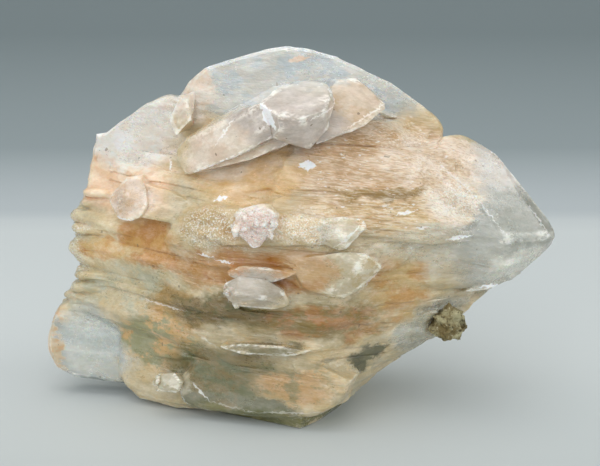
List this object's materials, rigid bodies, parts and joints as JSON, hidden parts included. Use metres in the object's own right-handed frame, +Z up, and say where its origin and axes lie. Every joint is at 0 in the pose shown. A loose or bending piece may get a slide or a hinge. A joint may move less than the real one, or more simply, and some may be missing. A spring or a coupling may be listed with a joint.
{
  "type": "selenite crystal blade",
  "caption": "Cluster of intergrown selenite blades with a ragged broken end, a curved crown and a spear point, resting on a flat base, with a lump of matrix rock in its edge.",
  "frame": {"origin": "middle of the footprint box, on the surface that the crystal rests on", "axes": "+X along the blades towards the spear point, +Y from the viewed face to the back, +Z up"},
  "size_m": [0.1228, 0.0516, 0.0851],
  "materials": {
    "selenite": "clear to milky gypsum with peach and honey clay inside, pearly cleavage faces and silky striated faces",
    "matrix_rock": "rough dull grey-brown rock"
  },
  "bodies": {
    "root": {"selenite_blade": "selenite", "matrix_lump": "matrix_rock"}
  },
  "joints": []
}
